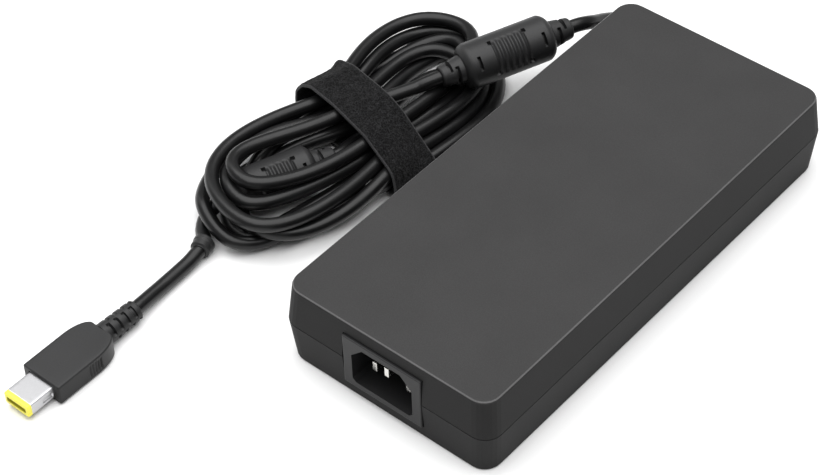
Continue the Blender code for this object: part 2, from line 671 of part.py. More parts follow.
def make_plug_contacts():
    """The rectangular metal barrel, the plastic tip inside it and the centre contact."""
    corner = 0.7 * MM
    outer = rounded_rectangle(BARREL_W, BARREL_H, corner, 2)
    hollow = rounded_rectangle(BARREL_W - 2 * BARREL_WALL, BARREL_H - 2 * BARREL_WALL, 0.4 * MM, 2)
    barrel_l = BARREL_OUT + BARREL_IN
    barrel = part("plug_barrel", flat_outline_mesh("plug_barrel", [outer, hollow], barrel_l), STEEL_LOOK)
    stand_on_y(barrel, (PLUG_X, PLUG_FRONT_Y - BARREL_OUT + barrel_l / 2, PLUG_Z))
    tip_l = TIP_OUT + 8.0 * MM
    tip_y = PLUG_FRONT_Y - BARREL_OUT - TIP_OUT
    inset = 2 * (BARREL_WALL + PLUG_FIT)
    slot = rounded_rectangle(6.6 * MM, 1.3 * MM, 0.3 * MM, 2)
    stem = rounded_rectangle(BARREL_W - inset, BARREL_H - inset, 0.3 * MM, 2)
    tip = part("plug_tip", flat_outline_mesh("plug_tip", [stem, slot], tip_l), TIP_LOOK)
    stand_on_y(tip, (PLUG_X, tip_y + tip_l / 2, PLUG_Z))
    rim_l = TIP_OUT - PLUG_FIT
    rim = cutter("tip_rim", flat_outline_mesh("tip_rim", [outer, slot], rim_l))
    stand_on_y(rim, (PLUG_X, tip_y + rim_l / 2, PLUG_Z))
    boolean(tip, rim, "UNION")
    box("plug_contact", (PLUG_X, tip_y + 6.2 * MM, PLUG_Z), (5.8 * MM, 8.0 * MM, 0.5 * MM), PIN_LOOK)


def make_plug_relief():
    """The ringed sleeve behind the plug, turned, with the lead ending inside its back half."""
    half = PLUG_RELIEF_L / 2
    ring_l = PLUG_RELIEF_L / PLUG_RELIEF_RINGS
    groove = 0.8 * MM
    profile = []
    for k in range(PLUG_RELIEF_RINGS):
        z = half - k * ring_l
        r = (3.7 + 0.22 * k) * MM
        floor = r - groove
        profile += [(r, z - 0.05 * MM), (r, z - 2.5 * MM), (floor, z - 2.6 * MM), (floor, z - 3.7 * MM)]
    wide = CORD_D / 2 + PLUG_FIT
    narrow = wide - 1.0 * MM
    seat = half - 3 * MM
    profile += [(4.3 * MM, -half), (narrow, -half), (narrow, seat), (wide, seat), (wide, half - 0.05 * MM)]
    relief = turned("plug_strain_relief", profile, RUBBER_LOOK, 24)
    aim(relief, (PLUG_X, PLUG_BACK_Y + GAP + half, PLUG_Z), (0, 1, 0))


clear_scene()
PARTS = collection(COLLECTION)
CUTTERS = collection("cutters")

CASE_LOOK = material("case_plastic", (0.075, 0.075, 0.077), 0.55)
INLET_LOOK = material("inlet_plastic", (0.05, 0.05, 0.052), 0.45)
RUBBER_LOOK = material("moulded_rubber", (0.035, 0.035, 0.037), 0.5)
CORD_LOOK = material("cord_sheath", (0.02, 0.02, 0.021), 0.4)
STRAP_LOOK = material("strap_fabric", (0.018, 0.018, 0.02), 0.95)
PIN_LOOK = material("nickel_plate", (0.72, 0.71, 0.68), 0.3, 1.0)
STEEL_LOOK = material("plug_steel", (0.75, 0.75, 0.76), 0.25, 1.0)
TIP_LOOK = material("tip_plastic", (0.85, 0.82, 0.12), 0.4)
LABEL_LOOK = material("label_film", (0.10, 0.10, 0.105), 0.6)
BOARD_LOOK = material("board_laminate", (0.03, 0.16, 0.07), 0.5)
SHEET_LOOK = material("insulating_film", (0.75, 0.72, 0.6), 0.6)
ALUMINIUM_LOOK = material("bare_aluminium", (0.8, 0.8, 0.81), 0.4, 1.0)
COPPER_LOOK = material("enamelled_copper", (0.6, 0.25, 0.09), 0.35, 1.0)
FERRITE_LOOK = material("ferrite_ceramic", (0.06, 0.06, 0.065), 0.7)
CHIP_LOOK = material("epoxy_package", (0.02, 0.02, 0.022), 0.5)
FILM_LOOK = material("capacitor_box", (0.8, 0.62, 0.12), 0.45)
CAPACITOR_LOOK = material("capacitor_sleeve", (0.04, 0.05, 0.12), 0.4)
CERAMIC_LOOK = material("fuse_ceramic", (0.85, 0.83, 0.78), 0.5)
TAPE_LOOK = material("winding_tape", (0.85, 0.7, 0.1), 0.5)

make_covers()
make_inlet()
make_board()
make_mains_side()
make_transformer()
make_power_side()
make_relief()
make_leads()
make_ferrite("a", FERRITE_A)
make_ferrite("b", FERRITE_B)
make_hank()
make_strap()
make_plug_housing()
make_plug_contacts()
make_plug_relief()

for made in PARTS.objects:
    if made.type == "MESH":
        made.data.shade_smooth()
        made.data.set_sharp_from_angle(angle=math.radians(35))
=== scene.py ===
"""Looks of the laptop power adapter: a matte case, its wound DC lead with two ferrites, a strap and a plug.
"""

import math

import bmesh
import bpy
import numpy as np
from mathutils import Matrix, Vector

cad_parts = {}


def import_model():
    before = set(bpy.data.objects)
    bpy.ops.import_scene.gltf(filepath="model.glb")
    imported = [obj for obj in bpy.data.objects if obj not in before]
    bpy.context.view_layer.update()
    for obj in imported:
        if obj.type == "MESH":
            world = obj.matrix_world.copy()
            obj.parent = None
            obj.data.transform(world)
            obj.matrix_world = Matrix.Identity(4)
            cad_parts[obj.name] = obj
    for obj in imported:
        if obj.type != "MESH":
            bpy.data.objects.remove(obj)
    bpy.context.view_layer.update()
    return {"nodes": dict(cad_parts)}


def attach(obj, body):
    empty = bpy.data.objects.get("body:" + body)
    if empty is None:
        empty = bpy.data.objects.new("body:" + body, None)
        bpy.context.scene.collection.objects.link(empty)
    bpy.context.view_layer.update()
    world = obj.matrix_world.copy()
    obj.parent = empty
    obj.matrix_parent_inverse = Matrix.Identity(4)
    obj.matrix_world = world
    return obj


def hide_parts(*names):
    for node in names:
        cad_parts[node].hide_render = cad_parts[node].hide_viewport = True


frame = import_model()

MM = 0.001
ADAPTER = "adapter"
STRAP = "strap"

# ---- camera, solved from the photo; it looks at VIEW_TARGET from VIEW_DISTANCE away ----
VIEW_AZIMUTH = math.radians(41.991)
VIEW_ELEVATION = math.radians(44.954)
VIEW_ROLL = math.radians(-2.289)
VIEW_TARGET = Vector((-45.36, -26.49, 0.0)) * MM
VIEW_DISTANCE = 808.4 * MM
LENS = 103.39
SENSOR = 36.0

# ---- lead ----
CORD_D = 5.2
CORD_R = CORD_D / 2
STEP = 2.2  # between points of the centreline
STRAND_GAP = 0.2  # left between strands, and between a strand and a ferrite, as they settle
SETTLE_ROUNDS = 400
PULL_BACK = 0.012  # of the way back to where it was laid, in each round
SETTLE_SMOOTHING = 1.4
# within about this far of the strap line, strands stay between a raised floor and a low roof
HELD_HALF_WIDTH = 26.0
HELD_LIFT = 3.6
HELD_ROOF = 17.9
FREE_ROOF = 40.0
# toward is a ferrite's axis, and grip the angle of its grooves about that axis, in degrees from the top
FERRITE_A = dict(centre=(-65.3, 50.7, 21.2), toward=(0.400, 0.916, 0.045), length=35.8, radius=8.5,
                 grip=-51.0)
FERRITE_B = dict(centre=(-94.3, -39.2, 8.5), toward=(0.359, 0.933, 0.0), length=27.0, radius=8.0,
                 grip=51.0)
RELIEF_L = 8.4  # each ferrite's sleeves
RELIEF_R = 4.2
# the lead's given points: from the case to ferrite A, on to the hank, into ferrite B, and out to the plug
START_ROUTE = [(-32.0, 84.0, 16.4), (-32.0, 92.2, 16.4), (-32.0, 96.0, 15.9), (-32.5, 99.8, 14.6),
               (-34.4, 103.2, 12.6), (-37.9, 105.7, 10.7), (-42.5, 106.4, 9.7), (-46.9, 105.0, 9.9),
               (-50.2, 101.8, 11.1), (-52.0, 97.2, 13.2), (-52.6, 92.0, 15.8), (-52.4, 86.6, 18.6),
               (-52.6, 81.6, 21.2)]
TO_HANK = (-81.0, 19.3, 17.2)
FERRITE_B_ROUTE = [(-85.9, -10.0, 8.3), (-86.4, -18.7, 8.5)]
LEAD_ROUTE = [(-101.0, -55.6, 8.1), (-103.2, -59.0, 7.0), (-104.2, -62.6, 5.3), (-103.9, -66.3, 3.9),
              (-102.2, -69.6, 3.0), (-99.8, -72.0, 2.9), (-97.5, -73.8, 3.2), (-95.8, -75.7, 3.7),
              (-94.8, -78.1, 4.0), (-94.3, -81.5, 3.7), (-93.9, -86.0, 3.2), (-93.2, -98.0, 3.2),
              (-92.4, -106.0, 3.9), (-91.8, -111.7, 4.4), (-91.6, -114.0, 4.4)]
STRAP_LINE_Y = -1.0  # the line along X, under the strap, that every strand crosses
# one row for each half turn of the hank: (x, z) where it crosses the strap line, then its apex y, how far
# its incoming and outgoing sides bulge, the apex's shift along X, its rise, and how square its end is
HALF_TURNS = [
    ((-91.5, 16.9), -56.4, 12.1, -1.5, -9.8, 2.5, 0.67),
    ((-76.0, 14.6), 60.6, 4.0, 11.5, -3.5, -3.4, 0.90),
    ((-103.5, 13.2), -67.0, 15.6, 3.5, 2.9, 2.7, 1.00),
    ((-69.5, 11.0), 60.0, 5.5, 8.0, -5.0, -2.2, 0.86),
    ((-104.5, 7.9), -66.0, 4.0, 5.3, 0.9, 0.5, 1.00),
    ((-66.5, 6.9), 57.0, 5.5, 6.0, -4.5, -3.0, 0.88),
    ((-98.0, 8.4), -60.5, 13.2, -1.4, -4.5, 2.3, 1.00),
    ((-74.5, 9.8), 57.5, 5.0, 0.0, -3.0, -1.8, 0.97),
    ((-110.2, 6.2), -70.1, 11.0, -5.9, 0.0, -1.0, 1.00),
    ((-63.5, 6.2), 59.5, 3.0, 8.0, -4.5, -3.5, 0.92),
    ((-91.5, 6.1), -63.0, 16.0, -3.5, -3.0, -3.3, 1.00),
    ((-72.5, 6.1), 48.5, 3.6, 6.0, -2.0, -3.0, 1.00),
]
LAST_CROSSING = (-86.0, 7.0)  # where the last half turn ends

# ---- plug: its axis runs along Y, and its housing from FRONT to BACK ----
PLUG_X = -91.6
PLUG_Z = 4.4
PLUG_FRONT_Y = -155.2
PLUG_BACK_Y = -128.0
HOUSING_HALF_W = 8.4
HOUSING_HALF_H = 3.95
NECK_HALF_W = 4.2
SHOULDER_FROM = 17.5  # from the front; behind it the housing narrows to its neck

# ---- strap: it runs along the length axis, across the hank ----
STRAP_TURN = math.radians(-13.0)
STRAP_LENGTH_AXIS = np.array([math.cos(STRAP_TURN), math.sin(STRAP_TURN), 0.0])
STRAP_WIDTH_AXIS = np.array([-STRAP_LENGTH_AXIS[1], STRAP_LENGTH_AXIS[0], 0.0])
STRAP_CENTRE = np.array([-88.3, -1.0, 0.0])
STRAP_W = 19.0
STRAP_T = 1.25
STRAP_FIT = 0.60  # from the strands to the strap
STRAP_OVERLAP = 26.0
STRAP_GRID = 0.5
STRAP_START_U = -12.0  # where along the length axis it starts, under the hank
STRAP_REACH = 36.0  # strands farther than this from its centre aren't in the hank
STRAP_SLIDE = 6.0  # each way
STRAP_SIDES = 240  # points round each outline
PILE_HEIGHT = 0.16
EDGE_DROP = 0.42


# ---------------------------------------------------------------- helpers
def link(obj):
    bpy.context.scene.collection.objects.link(obj)
    return obj


def mesh_object(name, bm, look, smooth_angle=40.0):
    """A finished object from a bmesh in millimetres."""
    bmesh.ops.recalc_face_normals(bm, faces=bm.faces)
    bmesh.ops.scale(bm, vec=Vector((MM, MM, MM)), verts=bm.verts)
    mesh = bpy.data.meshes.new(name)
    bm.to_mesh(mesh)
    bm.free()
    mesh.materials.append(look)
    mesh.shade_smooth()
    mesh.set_sharp_from_angle(angle=math.radians(smooth_angle))
    return link(bpy.data.objects.new(name, mesh))


def frame_at(centre, toward):
    """The matrix that puts a piece's own Z along a direction and its own Y upwards, at a place in mm."""
    along = Vector(toward).normalized()
    level = along.cross(Vector((0, 0, 1))).normalized()
    up = level.cross(along).normalized()
    turn = Matrix((up.cross(along), up, along)).transposed()
    return Matrix.Translation(Vector(centre)) @ turn.to_4x4()


def run_length(points):
    """How far along a polyline each of its points is."""
    return np.r_[0.0, np.cumsum(np.linalg.norm(np.diff(points, axis=0), axis=1))]


# ---------------------------------------------------------------- camera
def make_camera():
    level = math.cos(VIEW_ELEVATION)
    back = Vector((math.sin(VIEW_AZIMUTH) * level, -math.cos(VIEW_AZIMUTH) * level, math.sin(VIEW_ELEVATION)))
    side = Vector((0, 0, 1)).cross(back).normalized()
    up = back.cross(side)
    rolled_side = side * math.cos(VIEW_ROLL) + up * math.sin(VIEW_ROLL)
    rolled_up = up * math.cos(VIEW_ROLL) - side * math.sin(VIEW_ROLL)
    turn = Matrix((rolled_side, rolled_up, back)).transposed()
    data = bpy.data.cameras.new("camera")
    data.lens = LENS
    data.sensor_width = SENSOR
    data.clip_start = 0.05
    data.clip_end = 20.0
    camera = link(bpy.data.objects.new("camera", data))
    camera.matrix_world = Matrix.Translation(VIEW_TARGET + back * VIEW_DISTANCE) @ turn.to_4x4()
    bpy.context.scene.camera = camera


# ---------------------------------------------------------------- lead's centreline, in millimetres
def through(points, step):
    """Evenly spaced points along a Catmull-Rom curve through the given ones."""
    path = np.array(points, float)
    ends = np.vstack([2 * path[0] - path[1], path, 2 * path[-1] - path[-2]])
    fine = []
    for k in range(1, len(ends) - 2):
        p0, p1, p2, p3 = ends[k - 1:k + 3]
        for t in np.arange(16) / 16:
            fine.append(0.5 * (2 * p1 + (p2 - p0) * t + (2 * p0 - 5 * p1 + 4 * p2 - p3) * t * t
                               + (3 * p1 - 3 * p2 + p3 - p0) * t ** 3))
    fine.append(path[-1])
    return even(np.array(fine), step)


def even(points, step):
    """The same polyline, resampled to even steps."""
    lengths = run_length(points)
    count = max(2, round(lengths[-1] / step))
    goals = np.linspace(0.0, lengths[-1], count + 1)
    return np.stack([np.interp(goals, lengths, points[:, k]) for k in range(3)], axis=1)


def half_turn(start, end, apex_y, bulge_in, bulge_out, shift, rise, square):
    """One end loop of the hank, from one crossing of the strap line to the next."""
    angle = np.linspace(0.0, math.pi, 41)[:-1]
    sine = np.abs(np.sin(angle))
    double = np.sin(2 * angle)
    outward = math.copysign(1.0, start[0] - end[0])
    middle = (start[0] + end[0]) / 2
    half = (start[0] - end[0]) / 2
    bulge = bulge_in * np.maximum(double, 0.0) + bulge_out * np.minimum(double, 0.0)
    x = middle + half * np.cos(angle) + outward * bulge + shift * sine ** 2
    y = STRAP_LINE_Y + (apex_y - STRAP_LINE_Y) * sine ** square
    z = start[1] + (end[1] - start[1]) * (1 - np.cos(angle)) / 2 + rise * sine
    return np.stack([x, y, z], axis=1)


def ferrite_axis(spec):
    return np.array(spec["centre"]), np.array(spec["toward"]) / np.linalg.norm(spec["toward"])


def ferrite_ends(spec):
    """The tips of a ferrite's two sleeves."""
    centre, toward = ferrite_axis(spec)
    half = spec["length"] / 2 + RELIEF_L
    return centre - toward * half, centre + toward * half


def lay_out_lead():
    """The lead before it settles, and which of its points stay where they are."""
    a_tail, a_head = ferrite_ends(FERRITE_A)
    b_tail, b_head = ferrite_ends(FERRITE_B)
    start = through(START_ROUTE + [a_head, FERRITE_A["centre"], a_tail, TO_HANK], STEP)
    crossings = [row[0] for row in HALF_TURNS] + [LAST_CROSSING]
    hank = [half_turn(crossings[k], crossings[k + 1], *row[1:]) for k, row in enumerate(HALF_TURNS)]
    hank = even(smooth(even(np.vstack(hank), STEP), 2.0), STEP)
    body_end = np.array(FERRITE_B["centre"]) - (b_head - b_tail) * 0.30
    end = through([(LAST_CROSSING[0], STRAP_LINE_Y, LAST_CROSSING[1])] + FERRITE_B_ROUTE
                  + [FERRITE_B["centre"], body_end] + LEAD_ROUTE, STEP)
    points = np.vstack([start, hank[2:-2], end[1:]])
    fixed = np.zeros(len(points), bool)
    fixed[:len(start) - 2] = True
    fixed[len(points) - len(end) + 8:] = True
    return points, fixed


def smooth(values, sigma):
    """A Gaussian average along the rows, with both ends held."""
    reach = int(3 * sigma) + 1
    weights = np.exp(-0.5 * (np.arange(-reach, reach + 1) / sigma) ** 2)
    weights /= weights.sum()
    padded = np.vstack([values[:1].repeat(reach, 0), values, values[-1:].repeat(reach, 0)])
    return np.stack([np.convolve(padded[:, k], weights, "valid") for k in range(values.shape[1])], axis=1)


def push_from_ferrite(points, spec, skip):
    """Moves points off a ferrite's body and reliefs, which count as a thick and two thin round bars."""
    centre, toward = ferrite_axis(spec)
    along = (points - centre) @ toward
    off = points - centre - np.outer(along, toward)
    gap = np.linalg.norm(off, axis=1)
    half = spec["length"] / 2
    inside = np.abs(along)
    taper = np.clip((half + 1.5 - inside) / 3.0, 0.0, 1.0)
    radius = (RELIEF_R + (spec["radius"] - RELIEF_R) * taper) * (inside < half + RELIEF_L)
    need = np.where(radius > 0, radius + CORD_R + STRAND_GAP - gap, 0.0)
    need[skip] = 0.0
    return off / np.maximum(gap, 0.01)[:, None] * np.clip(need, 0.0, 0.8)[:, None]


def settle(points, fixed):
    """Pushes strands apart where they would pass through each other, the ferrites or the surface."""
    aim = points.copy()
    index = np.arange(len(points))
    near = np.abs(index[:, None] - index[None, :]) <= int(2.6 * CORD_D / STEP)
    a_skip = index < np.argmax(~fixed) + 2
    b_skip = index >= len(fixed) - np.argmax(fixed[::-1] == 0) - 3
    spacing = CORD_D + STRAND_GAP
    under_strap = np.exp(-0.5 * ((points[:, 1] - STRAP_LINE_Y) / HELD_HALF_WIDTH) ** 4)
    floor = CORD_R + 0.1 + HELD_LIFT * under_strap
    roof = np.where(under_strap > 0.8, HELD_ROOF, FREE_ROOF)
    share = np.where(fixed, 1.0, 0.5)
    for _ in range(SETTLE_ROUNDS):
        square = (points ** 2).sum(axis=1)
        gap = square[:, None] + square[None, :] - 2 * points @ points.T
        gap[near] = 1e6
        i, j = np.nonzero(gap < spacing ** 2)
        move = np.zeros_like(points)
        if len(i):
            apart = points[i] - points[j]
            distance = np.maximum(np.sqrt(np.maximum(gap[i, j], 0.0)), 0.05)
            push = apart * ((spacing - distance) / distance * share[j])[:, None]
            np.add.at(move, i, push)
            move /= np.sqrt(np.maximum(np.bincount(i, minlength=len(points)), 1))[:, None]
        move += push_from_ferrite(points, FERRITE_A, a_skip) + push_from_ferrite(points, FERRITE_B, b_skip)
        move[:, 2] += np.maximum(floor - points[:, 2], 0.0) - np.maximum(points[:, 2] - roof, 0.0)
        move += (aim - points) * PULL_BACK
        move[fixed] = 0.0
        shift = smooth(points + move - aim, SETTLE_SMOOTHING)
        shift[fixed] = 0.0
        points = aim + shift
        points[:, 2] = np.maximum(points[:, 2], CORD_R + 0.05)
    return points


def lead_path():
    points, fixed = lay_out_lead()
    return settle(points, fixed)


# ---------------------------------------------------------------- materials
class Look:
    """A procedural material: a Principled shader and the few nodes that the looks below share."""

    def __init__(self, name, rgb, roughness, metallic=0.0):
        self.material = bpy.data.materials.new(name)
        self.material.use_nodes = True
        self.tree = self.material.node_tree
        self.shader = self.tree.nodes["Principled BSDF"]
        self.rgb = rgb
        self.shader.inputs["Base Color"].default_value = (*rgb, 1.0)
        self.shader.inputs["Roughness"].default_value = roughness
        self.shader.inputs["Metallic"].default_value = metallic
        self.coordinates = self.tree.nodes.new("ShaderNodeTexCoord").outputs["Object"]
        self.height = None

    def node(self, kind, **values):
        """Adds a node and sets its properties, or else its inputs, by name."""
        made = self.tree.nodes.new(kind)
        for key, value in values.items():
            if hasattr(made, key):
                setattr(made, key, value)
            else:
                made.inputs[key.replace("_", " ")].default_value = value
        return made

    def noise(self, size_mm, detail=2.0, roughness=0.5, stretch=(1.0, 1.0, 1.0)):
        """Noise whose grains are about size_mm across."""
        source = self.coordinates
        if stretch != (1.0, 1.0, 1.0):
            mapping = self.node("ShaderNodeMapping")
            mapping.inputs["Scale"].default_value = stretch
            self.tree.links.new(source, mapping.inputs["Vector"])
            source = mapping.outputs["Vector"]
        made = self.node("ShaderNodeTexNoise", Scale=1 / (size_mm * MM), Detail=detail, Roughness=roughness)
        self.tree.links.new(source, made.inputs["Vector"])
        return made.outputs["Fac"]

    def spread(self, factor, low, high, from_low=0.3, from_high=0.7):
        """A factor moved onto the range low to high."""
        made = self.node("ShaderNodeMapRange")
        made.inputs["From Min"].default_value = from_low
        made.inputs["From Max"].default_value = from_high
        made.inputs["To Min"].default_value = low
        made.inputs["To Max"].default_value = high
        self.tree.links.new(factor, made.inputs["Value"])
        return made.outputs["Result"]

    def shade(self, factor, low, high, from_low=0.3, from_high=0.7):
        """Multiplies the colour so far by low to high, as a factor goes from from_low to from_high."""
        grey = self.node("ShaderNodeCombineColor")
        value = self.spread(factor, low, high, from_low, from_high)
        for key in ("Red", "Green", "Blue"):
            self.tree.links.new(value, grey.inputs[key])
        mix = self.node("ShaderNodeMix", data_type="RGBA", blend_type="MULTIPLY")
        mix.inputs["Factor"].default_value = 1.0
        so_far, times = [socket for socket in mix.inputs if socket.type == "RGBA"]
        so_far.default_value = (*self.rgb, 1.0)
        for before in self.shader.inputs["Base Color"].links:
            self.tree.links.new(before.from_socket, so_far)
        self.tree.links.new(grey.outputs["Color"], times)
        result = [socket for socket in mix.outputs if socket.type == "RGBA"][0]
        self.tree.links.new(result, self.shader.inputs["Base Color"])
        return self

    def gloss(self, factor, low, high, from_low=0.3, from_high=0.7):
        """Makes the roughness follow a factor."""
        result = self.spread(factor, low, high, from_low, from_high)
        self.tree.links.new(result, self.shader.inputs["Roughness"])
        return self

    def bump(self, factor, depth_mm):
        """Adds relief of some depth on top of any that is there."""
        made = self.node("ShaderNodeBump", Strength=1.0, Distance=depth_mm * MM)
        self.tree.links.new(factor, made.inputs["Height"])
        if self.height is not None:
            self.tree.links.new(self.height, made.inputs["Normal"])
        self.height = made.outputs["Normal"]
        self.tree.links.new(self.height, self.shader.inputs["Normal"])
        return self

    def set(self, **values):
        """Sets the shader's own inputs to constants."""
        for key, value in values.items():
            self.shader.inputs[key.replace("_", " ")].default_value = value
        return self


def textured_plastic(name, rgb, roughness, grain_mm, depth_mm, mottle=0.06):
    """Moulded plastic with a spark-eroded grain and faint handling marks."""
    look = Look(name, rgb, roughness)
    fine = look.noise(grain_mm, 3.0, 0.6)
    broad = look.noise(28.0, 3.0, 0.55)
    look.shade(fine, 1.0 - 2.0 * mottle, 1.0 + 2.0 * mottle)
    look.shade(broad, 1.0 - mottle, 1.0 + mottle)
    look.gloss(broad, roughness - 0.05, roughness + 0.05)
    look.bump(fine, depth_mm)
    return look


def facing_up(look, low, high, from_low, from_high):
    """How far a face looks upwards, from low to high; the painted shade on the sides and the painted
    highlight on the top edge follow it.
    """
    parts = look.node("ShaderNodeSeparateXYZ")
    look.tree.links.new(look.coordinates.node.outputs["Normal"], parts.inputs["Vector"])
    return look.spread(parts.outputs["Z"], low, high, from_low, from_high)


def between(look, rising, falling):
    """Where a rising and a falling factor are both high."""
    made = look.node("ShaderNodeMath", operation="MULTIPLY")
    look.tree.links.new(rising, made.inputs[0])
    look.tree.links.new(falling, made.inputs[1])
    return made.outputs["Value"]


def case_plastic():
    """Fine-textured case, with painted shade that makes its sides darker than its top, and a painted
    highlight along the rounded top edge, where it is also less rough.
    """
    look = textured_plastic("case_plastic", (0.0355, 0.0350, 0.0353), 0.60, 0.42, 0.022)
    # painted shade: the sides are darker than the top, by how far each face looks upwards
    look.shade(facing_up(look, 0.0, 1.0, 0.15, 0.90), 0.40, 1.0, 0.0, 1.0)
    # painted highlight: a bright line in the colour along the rounded top edge, between the top and the sides
    edge = between(look, facing_up(look, 0.0, 1.0, 0.35, 0.60), facing_up(look, 1.0, 0.0, 0.80, 0.97))
    look.shade(edge, 1.0, 3.4, 0.0, 1.0)
    look.gloss(edge, 0.60, 0.36, 0.0, 1.0)
    return look.set(Specular_IOR_Level=0.14).material


def inlet_plastic():
    look = textured_plastic("inlet_plastic", (0.0115, 0.0115, 0.0120), 0.42, 0.5, 0.012)
    return look.set(Specular_IOR_Level=0.26).material


def moulded_rubber():
    look = textured_plastic("moulded_rubber", (0.0225, 0.0225, 0.0230), 0.44, 0.35, 0.012, 0.08)
    # painted shade: the sides are darker than the top, by how far each face looks upwards
    look.shade(facing_up(look, 0.0, 1.0, -0.1, 0.90), 0.30, 1.08, 0.0, 1.0)
    return look.set(Specular_IOR_Level=0.26).material


def cord_sheath():
    """Soft PVC: satin, with shallow lengthwise drawing marks and uneven gloss."""
    look = Look("cord_sheath", (0.0042, 0.0042, 0.0044), 0.37)
    fine = look.noise(0.5, 3.0, 0.6)
    broad = look.noise(9.0, 2.0)
    look.shade(fine, 0.88, 1.12)
    look.shade(broad, 0.9, 1.12)
    look.gloss(broad, 0.29, 0.39)
    look.bump(fine, 0.010)
    return look.set(Specular_IOR_Level=0.30, Coat_Weight=0.05, Coat_Roughness=0.25).material


def strap_pile():
    """Brushed loop pile: soft, dark, with lighter loop tips."""
    look = Look("strap_pile", (0.0050, 0.0050, 0.0052), 0.95)
    loops = look.noise(0.55, 4.0, 0.75)
    tufts = look.noise(2.6, 2.0, 0.6)
    look.shade(loops, 0.15, 4.5, 0.42, 0.66)
    look.shade(tufts, 0.7, 1.35)
    look.bump(loops, 0.35)
    return look.set(Sheen_Weight=0.04, Sheen_Roughness=0.5, Specular_IOR_Level=0.08).material


def strap_edge():
    look = Look("strap_edge", (0.026, 0.026, 0.027), 0.8)
    weave = look.noise(0.6, 2.0)
    look.shade(weave, 0.6, 1.4)
    look.bump(weave, 0.12)
    return look.set(Sheen_Weight=0.05, Specular_IOR_Level=0.2).material


def metal(name, rgb, roughness, scratch_mm=0.25, stretch=(1.0, 0.2, 1.0)):
    look = Look(name, rgb, roughness, 1.0)
    brushed = look.noise(scratch_mm, 2.0, 0.5, stretch)
    look.shade(brushed, 0.95, 1.03)
    look.gloss(brushed, roughness - 0.03, roughness + 0.05)
    look.bump(brushed, 0.0006)
    return look.material


def tip_plastic():
    look = Look("tip_plastic", (0.90, 0.80, 0.060), 0.38)
    fine = look.noise(0.6, 2.0)
    look.shade(fine, 0.93, 1.05)
    look.bump(fine, 0.008)
    return look.set(Subsurface_Weight=0.05).material


def speckled(name, rgb, roughness, grain_mm, depth_mm, mottle=0.15, metallic=0.0):
    """Plain body colour broken up by grain, for the parts inside the case."""
    look = Look(name, rgb, roughness, metallic)
    fine = look.noise(grain_mm, 4.0, 0.65)
    look.shade(fine, 1 - mottle, 1 + mottle)
    look.gloss(fine, roughness - 0.08, roughness + 0.08)
    look.bump(fine, depth_mm)
    return look.material


def wound(name, rgb, roughness, wire_mm, axis="Z"):
    """Enamelled wire or tape laid side by side."""
    look = Look(name, rgb, roughness)
    wave = look.node("ShaderNodeTexWave", wave_type="BANDS", bands_direction=axis,
                     Scale=0.314 / (wire_mm * MM), Distortion=0.6)
    look.tree.links.new(look.coordinates, wave.inputs["Vector"])
    fine = look.noise(1.2, 3.0)
    look.shade(wave.outputs["Fac"], 0.55, 1.15, 0.1, 0.8)
    look.shade(fine, 0.9, 1.1)
    look.bump(wave.outputs["Fac"], wire_mm * 0.25)
    return look.material


def make_looks():
    """Every material, by the record's slot that it finishes, or by a name of this script's own."""
    return {
        "case_plastic": case_plastic(),
        "inlet_plastic": inlet_plastic(),
        "moulded_rubber": moulded_rubber(),
        "cord_sheath": cord_sheath(),
        "strap_fabric": strap_pile(),
        "strap_edge": strap_edge(),
        "nickel_plate": metal("nickel_plate", (0.70, 0.69, 0.66), 0.24),
        "plug_steel": metal("plug_steel", (0.50, 0.50, 0.51), 0.36),
        "tip_plastic": tip_plastic(),
        "tip_slot": speckled("tip_slot", (0.36, 0.33, 0.015), 0.5, 0.5, 0.01, 0.08),
        "label_film": speckled("label_film", (0.10, 0.10, 0.105), 0.5, 0.8, 0.006, 0.06),
        "board_laminate": speckled("board_laminate", (0.02, 0.13, 0.05), 0.45, 1.1, 0.03, 0.2),
        "insulating_film": speckled("insulating_film", (0.70, 0.66, 0.50), 0.5, 4.0, 0.02, 0.06),
        "bare_aluminium": metal("bare_aluminium", (0.78, 0.78, 0.80), 0.36, 0.6),
        "enamelled_copper": wound("enamelled_copper", (0.42, 0.15, 0.04), 0.32, 0.8),
        "ferrite_ceramic": speckled("ferrite_ceramic", (0.045, 0.045, 0.05), 0.7, 0.5, 0.05, 0.3),
        "epoxy_package": speckled("epoxy_package", (0.016, 0.016, 0.018), 0.5, 0.3, 0.02, 0.2),
        "capacitor_box": speckled("capacitor_box", (0.70, 0.48, 0.06), 0.4, 0.9, 0.01, 0.08),
        "capacitor_sleeve": speckled("capacitor_sleeve", (0.02, 0.03, 0.10), 0.3, 5.0, 0.01, 0.12),
        "fuse_ceramic": speckled("fuse_ceramic", (0.80, 0.77, 0.70), 0.45, 0.7, 0.01, 0.05),
        "winding_tape": wound("winding_tape", (0.80, 0.60, 0.05), 0.4, 5.0, "Y"),
    }


def dress_nodes(looks):
    """Gives every CAD node the finish of its record slot, which its packed material is named for."""
    for name, node in frame["nodes"].items():
        slot = node.data.materials[0].name.split(".")[0]
        node.data.materials[0] = looks[slot]
        if name in ("top_cover", "bottom_cover", "inlet_housing"):
            weighted = node.modifiers.new("flat_faces", "WEIGHTED_NORMAL")
            weighted.keep_sharp = True


# ---------------------------------------------------------------- bodies of turned and moulded pieces
def step_up(value, start, width=0.2):
    """0 before start, 1 after it, with a soft step of the given width."""
    t = np.clip((value - start) / width + 0.5, 0.0, 1.0)
    return t * t * (3 - 2 * t)


def band(value, low, high, soft=0.2):
    """1 from low to high, 0 elsewhere, with soft steps."""
    return step_up(value, low, soft) * (1 - step_up(value, high, soft))


def around(angle, centre, half, soft=6.0):
    """1 where an angle in degrees lies within half of a centre, 0 elsewhere."""
    off = np.abs((angle - centre + 180.0) % 360.0 - 180.0)
    return 1 - step_up(off, half, soft)


